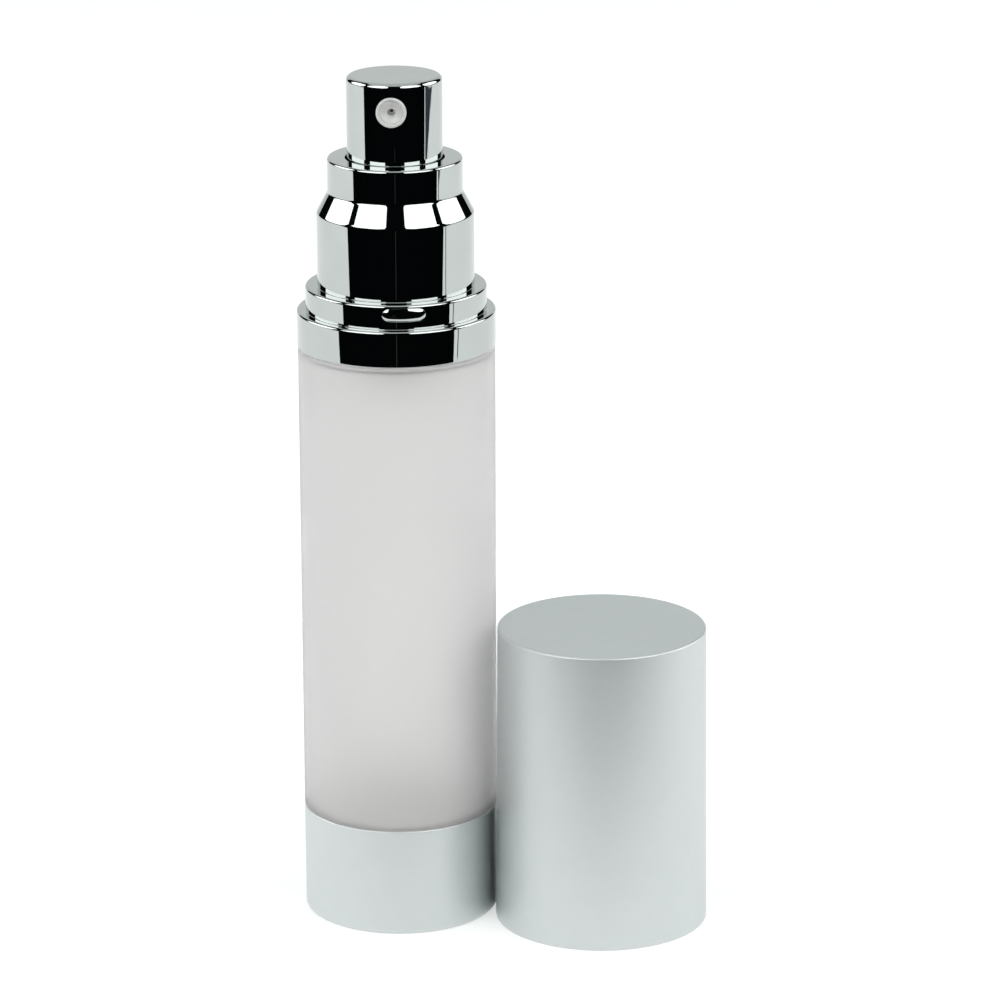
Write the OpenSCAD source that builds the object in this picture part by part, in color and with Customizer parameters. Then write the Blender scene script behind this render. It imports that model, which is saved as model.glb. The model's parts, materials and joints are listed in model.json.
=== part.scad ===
// Airless pump bottle: a frosted tube with a follower piston, a silver base,
// a chromed pump head screwed to the neck, and a pull-off cap.
// The origin is on the bottle's axis, on the plane that it stands on. The nozzle faces -Y.
// The cap stands mouth down beside the bottle, on the side of +X.

/* [Bottle] */
// Outside diameter of the bottle and its base
bottle_d = 33; // [31.5:0.5:36]
// Height of the frosted wall that shows between the base and the collar
window_h = 81; // [60:1:100]
// Wall of the bottle tube
tube_wall = 1.8; // [1.4:0.1:2.2]
// Thickness of the tube's shoulder
shoulder_t = 2; // [1.5:0.1:2.5]
// Wall of the neck
neck_wall = 1.6; // [1.2:0.1:2]
// Rounding of the tube's shoulder
shoulder_r = 0.6; // [0.3:0.1:1]
// Rounding of the tube's lower edge, above the base
tube_foot_r = 0.4; // [0.2:0.05:0.4]

/* [Base] */
// Height of the silver base
base_h = 18.6; // [16:0.2:22]
// Sheet thickness of the base shell
base_t = 0.5; // [0.4:0.05:0.7]
// Width of the foot ring outside the groove in the base's underside
foot_w = 4; // [3:0.2:5]
// Width of that groove
groove_w = 0.8; // [0.6:0.1:1.2]
// Depth of that groove
groove_h = 0.2; // [0.1:0.05:0.25]
// Rounding of the base's lower edge
foot_r = 0.8; // [0.6:0.1:1.2]
// Thickness of the base plug
plug_t = 1.2; // [1:0.1:1.6]
// Height of the plug's ring inside the tube
plug_ring_h = 4.8; // [3:0.2:6]
// Wall of the plug's ring
plug_wall = 1.2; // [1:0.1:1.6]
// Diameter of the air vent in the base
vent_d = 1.5; // [1:0.1:2]
// Distance of the air vent from the axis
vent_at = 6; // [3:0.5:8]

/* [Follower piston] */
// Height of the follower piston
follower_h = 12.5; // [11:0.5:15]
// Height of each of its two wiping lips
lip_h = 1.8; // [1.2:0.1:2.4]
// Wall of the follower piston
follower_wall = 1.1; // [0.9:0.1:1.4]
// Gap between the wiping lips and the tube
lip_clear = 0.03; // [0.02:0.01:0.08]

/* [Neck thread] */
// Rise of the thread in one turn
thread_pitch = 2.4; // [2.2:0.1:2.6]
// Depth of the thread ridges
thread_depth = 0.7; // [0.5:0.05:0.8]
// Gap between the neck's thread and the closure's
thread_clear = 0.2; // [0.15:0.05:0.3]
// Length of each thread, in turns
thread_turns = 1.25; // [1:0.05:1.3]

/* [Collar] */
// How far the collar's lower ring stands out from the bottle
ring_step = 0.13; // [0.05:0.01:0.4]
// Height of the collar's lower ring
ring_h = 6.2; // [5.8:0.1:7]
// How far the cap seat stands in from the lower ring
seat_step = 1.48; // [1.3:0.02:1.8]
// Height of the cap seat
seat_h = 4.1; // [3.8:0.1:5]
// Diameter of the wide part of the shroud
shroud_d = 26.25; // [25:0.25:27]
// Height of the wide part of the shroud
shroud_h = 12.4; // [11:0.1:14]
// Height of the shroud's cone
cone_h = 3.55; // [2.5:0.05:4.5]
// Diameter of the narrow part of the shroud
top_d = 22.5; // [21:0.25:23.5]
// Height of the narrow part of the shroud
top_h = 5.7; // [5:0.1:7]
// Wall of the collar shell
collar_wall = 0.8; // [0.7:0.05:0.9]
// Rounding of the collar's edges
collar_r = 0.45; // [0.3:0.05:0.6]
// Width of one snap bead on the cap seat
bead_w = 7.3; // [5:0.1:9]
// Height of a snap bead
bead_h = 2.3; // [1.8:0.1:2.6]
// Height of a snap bead's middle above the lower ring
bead_up = 2.45; // [2.1:0.05:2.7]
// How far a snap bead stands out
bead_out = 0.25; // [0.15:0.01:0.3]
// Number of snap beads
bead_n = 3; // [2:1:6]
// Angle of the first snap bead from the nozzle
bead_angle = 8.7; // [0:0.1:60]

/* [Pump] */
// Travel of the pump
stroke = 5.5; // [4:0.1:6]
// Bore of the pump chamber
chamber_d = 10.4; // [9.6:0.1:11]
// Wall of the pump chamber
chamber_wall = 1; // [0.8:0.05:1.3]
// Diameter of the stem
stem_d = 5.2; // [4.8:0.1:5.6]
// Bore of the stem
stem_bore = 2.4; // [2:0.1:2.8]
// Height of the pump piston
piston_h = 4.6; // [4:0.1:5.2]
// Thickness of the neck gasket
gasket_t = 1; // [0.6:0.1:1.2]
// Thickness of the pump's flange
flange_t = 1.2; // [1:0.1:1.5]
// Diameter of the two valve balls
ball_d = 3; // [2.6:0.1:3.2]
// How far a valve ball can lift
ball_lift = 0.5; // [0.3:0.05:0.7]
// Wire of the return spring
spring_wire = 0.7; // [0.5:0.05:0.8]
// Mean diameter of the return spring
spring_d = 8.4; // [8:0.1:9]
// Turns of the return spring
spring_turns = 6.5; // [5:0.5:7]

/* [Actuator] */
// Diameter of the actuator
button_d = 15.9; // [15:0.1:16.5]
// Height of the actuator above the collar
button_show_h = 13.75; // [12:0.25:16]
// Wall of the actuator shell
button_wall = 0.8; // [0.6:0.05:1]
// Rounding of the actuator's top edge
button_r = 0.8; // [0.5:0.1:1.2]
// Gap between the actuator and the collar around it
button_clear = 0.3; // [0.25:0.05:0.4]
// Diameter of the nozzle insert
nozzle_d = 5; // [4.6:0.1:5.4]
// Length of the nozzle insert
nozzle_l = 3.3; // [2.8:0.1:3.8]
// How far the nozzle insert stands out from the actuator
nozzle_out = 0.3; // [0.1:0.05:0.5]
// Distance of the nozzle below the actuator's top
nozzle_drop = 4.7; // [4:0.1:5.5]
// Width of the raised rim round the nozzle's face
nozzle_rim = 0.5; // [0.3:0.05:0.7]
// Depth of the dish in the nozzle's face
nozzle_dish = 0.55; // [0.3:0.05:0.8]
// Diameter of the nozzle's hole
nozzle_hole_d = 1.3; // [1:0.1:1.6]

/* [Cap] */
// Height of the cap
cap_h = 51.75; // [50:0.25:58]
// How much the cap's radius narrows from its mouth to its top
cap_draft = 0.4; // [0.2:0.05:0.5]
// Sheet thickness of the cap shell
cap_wall = 0.6; // [0.5:0.05:0.8]
// Rounding of the cap's top edge
cap_r = 0.4; // [0.3:0.05:0.55]
// Wall of the cap liner at its skirt
liner_wall = 0.6; // [0.5:0.05:0.8]
// Wall of the cap liner above its sleeve
liner_body_wall = 1; // [0.8:0.1:1.4]
// Thickness of the liner's top
liner_top_t = 1; // [0.8:0.1:1.4]
// Height of the sleeve that grips the cap seat
sleeve_h = 7; // [5:0.5:10]
// Gap between the liner and what it slides over
cap_clear = 0.17; // [0.12:0.01:0.25]
// Number of ribs under the liner's top
liner_rib_n = 8; // [4:1:12]
// Gap between the bottle and the cap that stands beside it
cap_gap = 0.3; // [0.3:0.1:20]
// Angle of the cap's place beside the bottle, from +X towards -Y
cap_angle = 7.6; // [0:0.1:60]

/* [Hidden] */
$fn = 96;

// Gaps: pieces pushed together for good, pieces that slide or turn, pieces that only pass,
// moving pieces at their stops, and pieces well apart
snug = 0.03;
slip = 0.05;
loose = 0.15;
stop_gap = 0.3;
free = 0.5;
// Roundings: sheet edges, moulded edges and moulded inside corners. The lead is a chamfer's size.
sheet_r = 0.15;
edge_r = 0.3;
root_r = 0.4;
lead = 0.6;
// Facets of one rounded corner, and how far a cut runs past a face
arc_n = 6;
cut = 1;

// Radii of the bottle
bottle_r = bottle_d / 2;
bore_r = bottle_r - tube_wall;
base_in_r = bottle_r - base_t;
spigot_r = base_in_r - snug;
foot_in_r = bottle_r - foot_w;

// Radii of the collar, from the bottle inwards
ring_r = bottle_r + ring_step;
seat_r = ring_r - seat_step;
shroud_r = shroud_d / 2;
top_r = top_d / 2;

// Radii of the closure inside the collar
closure_wall = 0.75;
skirt_r = ring_r - collar_wall - snug;
closure_up_r = seat_r - collar_wall - snug;
closure_in_r = closure_up_r - closure_wall;

// Radii of the neck and its thread
flange_r = closure_in_r - slip;
neck_r = closure_in_r - loose * 2;
neck_in_r = neck_r - neck_wall;
thread_r = neck_r + thread_depth;
thread_root_r = thread_r + thread_clear;
thread_crest_r = neck_r + thread_clear;

// Levels of the base, the tube and the collar, from the ground up
shoulder_gap = 0.3;
spigot_z = base_t + plug_t;
plug_ring_z = spigot_z + plug_ring_h;
collar_z = base_h + window_h;
shoulder_z = collar_z - shoulder_gap;
shoulder_in_z = shoulder_z - shoulder_t;
ledge_z = collar_z + ring_h;
seat_top_z = ledge_z + seat_h;
cone_z = seat_top_z + shroud_h;
top_z = cone_z + cone_h;
shroud_top_z = top_z + top_h;

// Levels where the pump hangs in the collar, from the collar down to the neck
web_t = 0.9;
skirt_web_t = 0.8;
web_top_z = seat_top_z - collar_wall - snug;
flange_top_z = web_top_z - web_t - slip;
flange_z = flange_top_z - flange_t;
neck_z = flange_z - gasket_t;
skirt_z = collar_z + slip * 2;
skirt_top_z = ledge_z - collar_wall - snug;

// The pump's housing, and the retainer that closes it
housing_rim_h = 2;
retainer_wall = 0.95;
retainer_t = 1.2;
retainer_foot_w = 1.4;
retainer_foot_t = 0.7;
chamber_r = chamber_d / 2;
housing_r = chamber_r + chamber_wall;
housing_top_z = flange_top_z + housing_rim_h;
retainer_r = housing_r + slip + retainer_wall;
retainer_foot_r = retainer_r + retainer_foot_w;
retainer_top_z = housing_top_z + slip + retainer_t;

// The piston at the top of its stroke, the stem's head under it, and the cage at the chamber's floor
stem_head_t = 1.6;
cage_t = 1;
stem_r = stem_d / 2;
stem_bore_r = stem_bore / 2;
piston_top_z = housing_top_z - stop_gap;
piston_z = piston_top_z - piston_h;
stem_tip_z = piston_z - stem_head_t;
cage_top_z = stem_tip_z - stroke - stop_gap;
cage_z = cage_top_z - cage_t;

// The valve balls: the slope of their seats and the room round them
valve_angle = 30;
ball_room = 0.2;
ball_r = ball_d / 2;
ball_pocket_r = ball_r + ball_room;

// The inlet valve, in the housing's nose
inlet_hole_r = 0.9;
nose_wall = 1.4;
nose_floor_t = 1;
inlet_ball_z = cage_z - ball_lift - ball_r;
nose_r = ball_pocket_r + nose_wall;
nose_z = inlet_ball_z - ball_r - nose_floor_t;

// The follower piston stands just above the base plug. Its pocket clears the housing's nose.
follower_z = plug_ring_z + free;
follower_top_z = follower_z + follower_h;
follower_r = bore_r - lip_clear;
pocket_depth = max(shoulder_in_z - nose_z, 1) + free;
pocket_r = housing_r + free;

// The actuator, which reaches into the collar, and its hub on the stem
button_sink = 1;
hub_wall = 0.45;
hub_out = 1.4;
stem_seat = 4;
button_out_r = button_d / 2;
button_in_r = button_out_r - button_wall;
button_hole_r = button_out_r + button_clear;
button_top_z = shroud_top_z + button_show_h;
button_z = shroud_top_z - stroke - button_sink;
core_top_z = button_top_z - button_wall - snug;
core_r = button_in_r - snug;
hub_r = spring_d / 2 + spring_wire / 2 + hub_wall;
hub_z = button_z - hub_out;
stem_top_z = hub_z + stem_seat;

// The outlet valve sits in the stem's top
outlet_ball_z = stem_top_z - ball_lift - ball_r - loose;

// The nozzle insert and the channel that leads to it
channel_r = 1;
nozzle_r = nozzle_d / 2;
nozzle_hole_r = nozzle_hole_d / 2;
nozzle_z = button_top_z - nozzle_drop;
nozzle_root_y = button_out_r + nozzle_out - nozzle_l;

// The cap, from its mouth, and its place beside the bottle
cap_mouth_r = ring_r + cap_clear + liner_wall + snug + cap_wall;
cap_top_r = cap_mouth_r - cap_draft;
cap_far = bottle_r + cap_gap + cap_mouth_r;
cap_pos = [cap_far * cos(cap_angle), -cap_far * sin(cap_angle), 0];

// The cap's liner: its mouth slides over the lower ring, and its sleeve grips the seat's beads
liner_skirt_r = ring_r + cap_clear;
liner_seat_r = seat_r + bead_out + slip;
liner_bore_r = cap_top_r - cap_wall - snug - liner_body_wall;
liner_mouth_z = 0.4;
liner_ledge_z = ring_h + slip * 2;
liner_top_z = cap_h - cap_wall - snug;

FROSTED = "gainsboro";
SILVER = "silver";
CHROME = "lightsteelblue";
NATURAL = "whitesmoke";
RUBBER = "dimgray";
STEEL = "slategray";

function unit(v) = v / norm(v);

// One corner of an outline: the points of an arc of radius r that touches both its sides
function corner(a, b, c, r) =
    r <= 0 ? [b] :
    let (
        u = unit(a - b),
        w = unit(c - b),
        half = acos(u * w) / 2,
        mid = b + unit(u + w) * r / sin(half),
        from = b + u * r / tan(half) - mid,
        to = b + w * r / tan(half) - mid,
        a0 = atan2(from.y, from.x),
        turn = atan2(from.x * to.y - from.y * to.x, from * to)
    )
    [for (i = [0 : arc_n]) mid + r * [cos(a0 + turn * i / arc_n), sin(a0 + turn * i / arc_n)]];

// An outline whose corners are [x, y] or [x, y, radius of the corner]
function outline(p) =
    let (n = len(p), q = [for (v = p) [v.x, v.y]])
    [for (i = [0 : n - 1])
        each corner(q[(i + n - 1) % n], q[i], q[(i + 1) % n], len(p[i]) > 2 ? p[i][2] : 0)];

// A turned solid from its half section
module turned(p) {
    rotate_extrude() polygon(outline(p));
}

// A pipe from z0 to z1
module pipe(r_out, r_in, z0, z1) {
    turned([[r_in, z0], [r_out, z0], [r_out, z1], [r_in, z1]]);
}

// A round bar from z0 to z1, for cuts
module bar(r, z0, z1) {
    translate([0, 0, z0]) cylinder(r = r, h = z1 - z0);
}

// Closed faces between rings of m points: sides, then the two ends.
// Seen along the tube's way, a ring's points run anticlockwise, or clockwise where back is set.
function tube_faces(rings, m, back = false) =
    let (
        sides = [for (i = [0 : rings - 2]) for (j = [0 : m - 1]) each [
            [i * m + j, (i + 1) * m + (j + 1) % m, (i + 1) * m + j],
            [i * m + j, i * m + (j + 1) % m, (i + 1) * m + (j + 1) % m]
        ]],
        start = [for (j = [1 : m - 2]) [0, j + 1, j]],
        end = [for (j = [1 : m - 2]) [(rings - 1) * m, (rings - 1) * m + j, (rings - 1) * m + j + 1]],
        all = concat(sides, start, end)
    )
    back ? [for (f = all) [f[2], f[1], f[0]]] : all;

// A thread ridge: it starts at level z and angle a, with root radius r0 and crest radius r1.
// Its ends fade towards the root over an eighth of a turn, down to a tenth of its height.
thread_steps = 60;
thread_root_w = 1;
thread_crest_w = 0.5;
thread_sink = 0.25;
fade = 0.125;
tip = 0.1;
module thread_ridge(r0, r1, z, a) {
    n = ceil(thread_turns * thread_steps);
    sink = r1 > r0 ? -thread_sink : thread_sink;
    points = [for (i = [0 : n]) let (
            turn = i / n * thread_turns,
            grow = min(1, turn / fade + tip, (thread_turns - turn) / fade + tip),
            rc = r0 + (r1 - r0) * grow,
            ang = a + turn * 360,
            zc = z + turn * thread_pitch
        )
        each [for (p = [[r0 + sink, -thread_root_w / 2], [rc, -thread_crest_w / 2],
                        [rc, thread_crest_w / 2], [r0 + sink, thread_root_w / 2]])
            [p.x * cos(ang), p.x * sin(ang), zc + p.y]]
    ];
    polyhedron(points, tube_faces(n + 1, 4, r1 < r0));
}

// The two threads interlock with half a pitch between them
neck_thread_up = 1;
closure_thread_up = 0.9;
neck_thread_z = shoulder_z + neck_thread_up;
closure_thread_z = collar_z + closure_thread_up;
closure_thread_a = 360 * ((closure_thread_z - neck_thread_z) / thread_pitch - 0.5);

module bottle_tube() {
    color(FROSTED)
    union() {
        turned([
            [bore_r, spigot_z],
            [spigot_r, spigot_z],
            [spigot_r, base_h + snug],
            [bottle_r, base_h + snug, tube_foot_r],
            [bottle_r, shoulder_z, shoulder_r],
            [neck_r, shoulder_z],
            [neck_r, neck_z, edge_r],
            [neck_in_r, neck_z, edge_r],
            [neck_in_r, shoulder_in_z, edge_r],
            [bore_r, shoulder_in_z, root_r]
        ]);
        thread_ridge(neck_r, thread_r, neck_thread_z, 0);
    }
}

// The air vent goes through the shell and the plug beside the axis
module vent_cut() {
    translate([0, vent_at, 0]) bar(vent_d / 2, -cut, spigot_z + cut);
}

module base_shell() {
    slope_w = groove_w / 4;
    groove_r = groove_h / 2;
    color(SILVER)
    difference() {
        turned([
            [0, 0],
            [foot_in_r - groove_w, 0, groove_r],
            [foot_in_r - groove_w + slope_w, groove_h, groove_r],
            [foot_in_r - slope_w, groove_h, groove_r],
            [foot_in_r, 0, groove_r],
            [bottle_r, 0, foot_r],
            [bottle_r, base_h, sheet_r],
            [base_in_r, base_h, sheet_r],
            [base_in_r, base_t, sheet_r],
            [0, base_t]
        ]);
        vent_cut();
    }
}

module base_plug() {
    plug_r = bore_r - slip;
    color(NATURAL)
    difference() {
        turned([
            [0, base_t],
            [spigot_r, base_t, edge_r],
            [spigot_r, spigot_z],
            [plug_r, spigot_z],
            [plug_r, plug_ring_z, root_r],
            [plug_r - plug_wall, plug_ring_z],
            [plug_r - plug_wall, spigot_z, root_r],
            [0, spigot_z]
        ]);
        vent_cut();
    }
}

module follower_piston() {
    waist_in = 0.5;
    tip_in = 0.4;
    bend_r = 0.8;
    waist_r = follower_r - waist_in;
    skirt_in_r = waist_r - follower_wall;
    deck_z = follower_top_z - lip_h;
    floor_z = follower_top_z - pocket_depth;
    color(NATURAL)
    turned([
        [0, floor_z],
        [pocket_r, floor_z, bend_r],
        [pocket_r, deck_z, root_r],
        [skirt_in_r - lead, deck_z, root_r],
        [follower_r - tip_in, follower_top_z],
        [follower_r, follower_top_z],
        [follower_r, deck_z],
        [waist_r, deck_z - waist_in],
        [waist_r, follower_z + lip_h + waist_in],
        [follower_r, follower_z + lip_h],
        [follower_r, follower_z],
        [follower_r - tip_in, follower_z],
        [skirt_in_r, follower_z + lip_h],
        [skirt_in_r, deck_z - follower_wall, root_r],
        [pocket_r + follower_wall, deck_z - follower_wall, root_r],
        [pocket_r + follower_wall, floor_z - follower_wall, bend_r],
        [0, floor_z - follower_wall]
    ]);
}

// The space of a valve ball: a sloped seat that it rests in, with a pocket above it up to level z
module ball_space(ball_z, z) {
    seat_z = ball_z - (ball_r + snug) / sin(valve_angle);
    turned([
        [0, seat_z],
        [ball_pocket_r, seat_z + ball_pocket_r / tan(valve_angle)],
        [ball_pocket_r, z],
        [0, z]
    ]);
}

// The housing hangs in the neck by its flange, with a short sleeve that centres it
module pump_housing() {
    sleeve_r = neck_in_r - slip * 2;
    sleeve_wall = 1;
    sleeve_h = 3;
    floor_z = cage_z - chamber_wall;
    color(NATURAL)
    difference() {
        turned([
            [0, nose_z],
            [nose_r - lead, nose_z],
            [nose_r, nose_z + lead],
            [nose_r, floor_z],
            [housing_r, floor_z, root_r],
            [housing_r, flange_z],
            [sleeve_r - sleeve_wall, flange_z],
            [sleeve_r - sleeve_wall, flange_z - sleeve_h],
            [sleeve_r, flange_z - sleeve_h, edge_r],
            [sleeve_r, flange_z],
            [flange_r, flange_z],
            [flange_r, flange_top_z, edge_r],
            [housing_r, flange_top_z],
            [housing_r, housing_top_z],
            [0, housing_top_z]
        ]);
        bar(chamber_r, cage_z, housing_top_z + cut);
        ball_space(inlet_ball_z, cage_z + cut);
        bar(inlet_hole_r, nose_z - cut, inlet_ball_z - ball_r / 2);
    }
}

module neck_gasket() {
    color(RUBBER) pipe(flange_r, neck_in_r, neck_z, flange_z);
}

// The cage keeps the inlet ball in its pocket. Its ports open over the pocket's edge.
module ball_cage() {
    hole_r = 0.6;
    port_n = 4;
    port_r = 0.6;
    color(NATURAL)
    difference() {
        pipe(chamber_r - snug, hole_r, cage_z, cage_top_z);
        for (i = [0 : port_n - 1])
            rotate(i * 360 / port_n)
                translate([ball_pocket_r, 0, 0]) bar(port_r, cage_z - cut, cage_top_z + cut);
    }
}

module inlet_ball() {
    color(STEEL) translate([0, 0, inlet_ball_z]) sphere(r = ball_r);
}

// The retainer holds the piston in the housing, guides the stem and carries the spring
module pump_retainer() {
    guide_r = stem_r + loose;
    guide_wall = 0.5;
    guide_h = 1.4;
    color(NATURAL)
    turned([
        [housing_r + slip, flange_top_z],
        [retainer_foot_r, flange_top_z],
        [retainer_foot_r, flange_top_z + retainer_foot_t],
        [retainer_r, flange_top_z + retainer_foot_t],
        [retainer_r, retainer_top_z, edge_r],
        [guide_r + guide_wall, retainer_top_z],
        [guide_r + guide_wall, retainer_top_z + guide_h],
        [guide_r, retainer_top_z + guide_h],
        [guide_r, housing_top_z + slip],
        [housing_r + slip, housing_top_z + slip]
    ]);
}

module screw_closure() {
    hole_r = retainer_foot_r + loose;
    color(NATURAL)
    union() {
        turned([
            [thread_root_r, skirt_z],
            [skirt_r, skirt_z],
            [skirt_r, skirt_top_z],
            [closure_up_r, skirt_top_z],
            [closure_up_r, web_top_z],
            [hole_r, web_top_z],
            [hole_r, web_top_z - web_t],
            [closure_in_r, web_top_z - web_t],
            [closure_in_r, skirt_top_z - skirt_web_t],
            [thread_root_r, skirt_top_z - skirt_web_t]
        ]);
        thread_ridge(thread_root_r, thread_crest_r, closure_thread_z, closure_thread_a);
    }
}

// One snap bead: a round-ended pad that swells out of the cap seat
module snap_bead() {
    end_r = bead_h / 2;
    swell_r = (end_r * end_r + bead_out * bead_out) / (2 * bead_out);
    translate([0, 0, ledge_z + bead_up])
    intersection() {
        rotate_extrude()
            intersection() {
                translate([seat_r + bead_out - swell_r, 0]) circle(swell_r);
                translate([seat_r - collar_wall / 2, -bead_h]) square([collar_wall, bead_h * 2]);
            }
        rotate([90, 0, 0])
            linear_extrude(seat_r * 2)
                union() {
                    square([bead_w - bead_h, bead_h], center = true);
                    for (s = [-1, 1]) translate([s * (bead_w / 2 - end_r), 0]) circle(end_r);
                }
    }
}

module collar_shell() {
    w = collar_wall;
    rim_r = collar_r / 2;
    // The inside of the cone starts lower, so that its wall is about as thick as the others
    cone_drop = w / 4;
    color(CHROME)
    union() {
        turned([
            [ring_r - w, collar_z, sheet_r],
            [ring_r, collar_z, rim_r],
            [ring_r, ledge_z, collar_r],
            [seat_r, ledge_z],
            [seat_r, seat_top_z, collar_r],
            [shroud_r, seat_top_z],
            [shroud_r, cone_z, collar_r],
            [top_r, top_z, collar_r],
            [top_r, shroud_top_z, collar_r],
            [button_hole_r, shroud_top_z, rim_r],
            [button_hole_r, shroud_top_z - w],
            [top_r - w, shroud_top_z - w],
            [top_r - w, top_z - cone_drop],
            [shroud_r - w, cone_z - cone_drop],
            [shroud_r - w, seat_top_z - w],
            [seat_r - w, seat_top_z - w],
            [seat_r - w, ledge_z - w],
            [ring_r - w, ledge_z - w]
        ]);
        for (i = [0 : bead_n - 1]) rotate(bead_angle + i * 360 / bead_n) snap_bead();
    }
}

// The stem's foot: a head under the piston and a pin in the upper stem's bore
module lower_stem() {
    pin_r = stem_bore_r - slip;
    flow_gap = 1.6;
    head_r = chamber_r - flow_gap;
    port_r = 0.5;
    color(NATURAL)
    difference() {
        turned([
            [0, stem_tip_z],
            [head_r - lead, stem_tip_z],
            [head_r, stem_tip_z + lead],
            [head_r, piston_z],
            [pin_r, piston_z],
            [pin_r, piston_top_z, edge_r],
            [0, piston_top_z]
        ]);
        bar(port_r, stem_tip_z - cut, piston_top_z + cut);
    }
}

module upper_stem() {
    foot_up = 0.4;
    foot_z = piston_z + foot_up;
    color(NATURAL)
    difference() {
        turned([
            [0, foot_z],
            [stem_r, foot_z],
            [stem_r, stem_top_z, edge_r],
            [0, stem_top_z]
        ]);
        bar(stem_bore_r, foot_z - cut, outlet_ball_z - ball_r / 2);
        ball_space(outlet_ball_z, stem_top_z + cut);
    }
}

// The piston has a hub on the stem, a web, and two lips that wipe the chamber
module pump_piston() {
    lip_gap = 0.04;
    lip_t = 0.3;
    lip_l = 1.2;
    waist_in = 0.35;
    hub_t = 1;
    lip_r = chamber_r - lip_gap;
    hub_in_r = stem_r + snug;
    color(RUBBER)
    turned([
        [hub_in_r, piston_z],
        [hub_in_r + hub_t, piston_z],
        [hub_in_r + hub_t, piston_z + hub_t],
        [lip_r - lip_t, piston_z],
        [lip_r, piston_z],
        [lip_r, piston_z + lip_l],
        [lip_r - waist_in, piston_z + lip_l + lip_t],
        [lip_r - waist_in, piston_top_z - lip_l - lip_t],
        [lip_r, piston_top_z - lip_l],
        [lip_r, piston_top_z],
        [lip_r - lip_t, piston_top_z],
        [hub_in_r + hub_t, piston_top_z - hub_t],
        [hub_in_r + hub_t, piston_top_z],
        [hub_in_r, piston_top_z]
    ]);
}

// The spring's wire climbs slowly over its first and last turn, and faster between them
spring_steps = 24;
spring_sides = 6;
end_coil_gap = 0.45;
module return_spring() {
    wire_r = spring_wire / 2;
    z0 = retainer_top_z + slip + wire_r;
    rise = hub_z - slip - wire_r - z0;
    end_rise = spring_wire + end_coil_gap;
    mid_rise = rise - end_rise * 2;
    mid_turns = spring_turns - 2;
    n = ceil(spring_turns * spring_steps);
    level = function(t) t < 1 ? end_rise * t
        : t > spring_turns - 1 ? rise - end_rise * (spring_turns - t)
        : end_rise + mid_rise * (t - 1) / mid_turns;
    points = [for (i = [0 : n]) let (t = i / n * spring_turns, a = t * 360)
        each [for (j = [0 : spring_sides - 1]) let (
                b = j * 360 / spring_sides,
                r = spring_d / 2 + wire_r * cos(b)
            )
            [r * cos(a), r * sin(a), z0 + level(t) + wire_r * sin(b)]]];
    color(STEEL) polyhedron(points, tube_faces(n + 1, spring_sides));
}

module outlet_ball() {
    color(STEEL) translate([0, 0, outlet_ball_z]) sphere(r = ball_r);
}

// A round cut from the axis, or from y_near, out through the actuator's front
module front_cut(r, y_near = 0) {
    translate([0, -y_near, nozzle_z]) rotate([90, 0, 0]) cylinder(r = r, h = button_out_r - y_near + cut);
}

// The core fills the button's top. Below, it has a hub on the stem and ribs out to the shell.
module actuator_core() {
    rib_n = 4;
    rib_t = 1.2;
    floor_t = 1.2;
    floor_z = nozzle_z - nozzle_r - floor_t;
    rib_z = button_z + free;
    color(NATURAL)
    difference() {
        union() {
            bar(hub_r, hub_z, floor_z + cut);
            turned([[0, floor_z], [core_r, floor_z], [core_r, core_top_z, root_r], [0, core_top_z]]);
            for (i = [0 : rib_n - 1]) rotate(45 + i * 360 / rib_n)
                translate([0, -rib_t / 2, rib_z])
                    cube([core_r - slip * 2, rib_t, floor_z + cut - rib_z]);
        }
        bar(stem_r + snug, hub_z - cut, stem_top_z + slip);
        bar(channel_r, hub_z, nozzle_z);
        front_cut(channel_r);
        front_cut(nozzle_r + snug, nozzle_root_y);
    }
}

module actuator_shell() {
    color(CHROME)
    difference() {
        turned([
            [button_in_r, button_z],
            [button_out_r, button_z, sheet_r],
            [button_out_r, button_top_z, button_r],
            [0, button_top_z],
            [0, button_top_z - button_wall],
            [button_in_r, button_top_z - button_wall, root_r]
        ]);
        front_cut(nozzle_r + snug);
    }
}

// The insert's face has a raised rim, a dish and the outlet hole
module nozzle_insert() {
    flat_w = 0.35;
    face_z = nozzle_l - snug;
    color(NATURAL)
    translate([0, -nozzle_root_y - snug, nozzle_z]) rotate([90, 0, 0])
    turned([
        [nozzle_hole_r, 0],
        [nozzle_r, 0],
        [nozzle_r, face_z, sheet_r],
        [nozzle_r - nozzle_rim, face_z, sheet_r],
        [nozzle_hole_r + flat_w, face_z - nozzle_dish],
        [nozzle_hole_r, face_z - nozzle_dish]
    ]);
}

module cap_shell() {
    w = cap_wall;
    color(SILVER)
    translate(cap_pos)
    turned([
        [cap_mouth_r - w, 0, sheet_r],
        [cap_mouth_r, 0, edge_r],
        [cap_top_r, cap_h, cap_r],
        [0, cap_h],
        [0, cap_h - w],
        [cap_top_r - w, cap_h - w, sheet_r]
    ]);
}

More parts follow.
